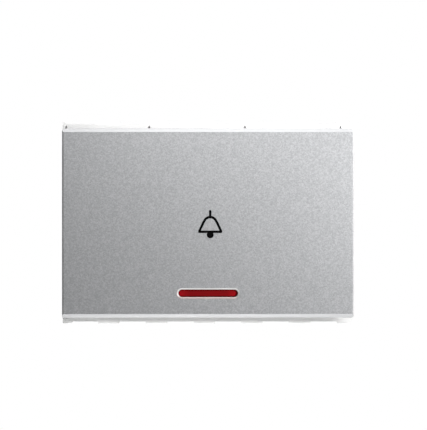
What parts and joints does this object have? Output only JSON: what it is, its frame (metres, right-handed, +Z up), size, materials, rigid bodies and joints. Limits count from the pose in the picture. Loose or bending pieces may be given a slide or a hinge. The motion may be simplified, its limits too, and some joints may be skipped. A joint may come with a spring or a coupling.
{
  "type": "doorbell push button",
  "caption": "Modular snap-in doorbell push with a wide flat silver press key, bell symbol, red indicator strip and a castellated white mounting frame.",
  "frame": {"origin": "centre of the snap-in opening, on the seat plane where the castellated flange lands", "axes": "+X to the right along the key, +Y into the wall, +Z up; the key's face looks along -Y"},
  "size_m": [0.0686, 0.0268, 0.0474],
  "materials": {
    "silver_key": "satin silver lacquer with fine metallic flake",
    "white_plastic": "satin white moulding",
    "red_lens": "clear deep red, glossy",
    "grey_plastic": "light grey satin moulding",
    "plunger_plastic": "natural low-friction moulding",
    "copper_alloy": "bright spring copper alloy",
    "spring_steel": "drawn spring wire",
    "contact_silver": "silver contact face",
    "brass": "pressed brass, satin",
    "plated_steel": "zinc plated",
    "circuit_board": "green solder resist",
    "lamp_body": "white lamp body",
    "resistor_body": "beige lacquer",
    "diode_body": "black moulding",
    "tinned_wire": "tinned copper wire"
  },
  "bodies": {
    "chassis": {"chassis": "white_plastic", "housing": "grey_plastic", "mechanism_cover": "grey_plastic", "line_strip": "brass", "bell_strip": "brass", "fixed_contact_left": "contact_silver", "fixed_contact_right": "contact_silver", "return_spring": "spring_steel", "lamp_board": "circuit_board", "indicator_led": "lamp_body", "dropper_resistor": "resistor_body", "blocking_diode": "diode_body", "lamp_link_left": "tinned_wire", "lamp_link_right": "tinned_wire", "housing_screw_1": "plated_steel", "housing_screw_2": "plated_steel", "housing_screw_3": "plated_steel", "housing_screw_4": "plated_steel"},
    "key": {"key_plate": "silver_key", "key_carrier": "white_plastic", "indicator_lens": "red_lens"},
    "plunger": {"plunger": "plunger_plastic", "bridge_retainer": "plunger_plastic", "contact_spring": "spring_steel"},
    "bridge": {"bridge_contact": "copper_alloy", "moving_contact_left": "contact_silver", "moving_contact_right": "contact_silver"},
    "line_clamp": {"line_clamp": "plated_steel"},
    "line_screw": {"line_screw": "plated_steel"},
    "bell_clamp": {"bell_clamp": "plated_steel"},
    "bell_screw": {"bell_screw": "plated_steel"}
  },
  "joints": [
    {"name": "key_press", "type": "hinge", "parent": "chassis", "child": "key", "pos_m": [0, -0.0028, 0.0187], "axis": [1, 0, 0], "range_deg": [0, 3], "stiffness_Nm_per_rad": 0.643, "springref_deg": -2.77},
    {"name": "plunger_slide", "type": "slide", "parent": "chassis", "child": "plunger", "axis": [0, 1, 0], "range_m": [0, 0.00108], "deforming": ["return_spring"]},
    {"name": "bridge_float", "type": "slide", "parent": "plunger", "child": "bridge", "axis": [0, -1, 0], "range_m": [0, 0.0005], "stiffness_N_per_m": 600, "springref_m": -0.001, "deforming": ["contact_spring"]},
    {"name": "line_clamp_slide", "type": "slide", "parent": "chassis", "child": "line_clamp", "axis": [0, -1, 0], "range_m": [0, 0.0023]},
    {"name": "line_screw_turn", "type": "hinge", "parent": "line_clamp", "child": "line_screw", "pos_m": [-0.0155, 0, -0.002], "axis": [0, -1, 0], "range_deg": [0, 1381]},
    {"name": "bell_clamp_slide", "type": "slide", "parent": "chassis", "child": "bell_clamp", "axis": [0, -1, 0], "range_m": [0, 0.0023]},
    {"name": "bell_screw_turn", "type": "hinge", "parent": "bell_clamp", "child": "bell_screw", "pos_m": [0.0155, 0, -0.002], "axis": [0, -1, 0], "range_deg": [0, 1381]}
  ],
  "couplings": [
    {"joint": "plunger_slide", "follows": "key_press", "m_per_rad": 0.0207},
    {"joint": "line_screw_turn", "follows": "line_clamp_slide", "rad_per_m": 10472},
    {"joint": "bell_screw_turn", "follows": "bell_clamp_slide", "rad_per_m": 10472}
  ]
}
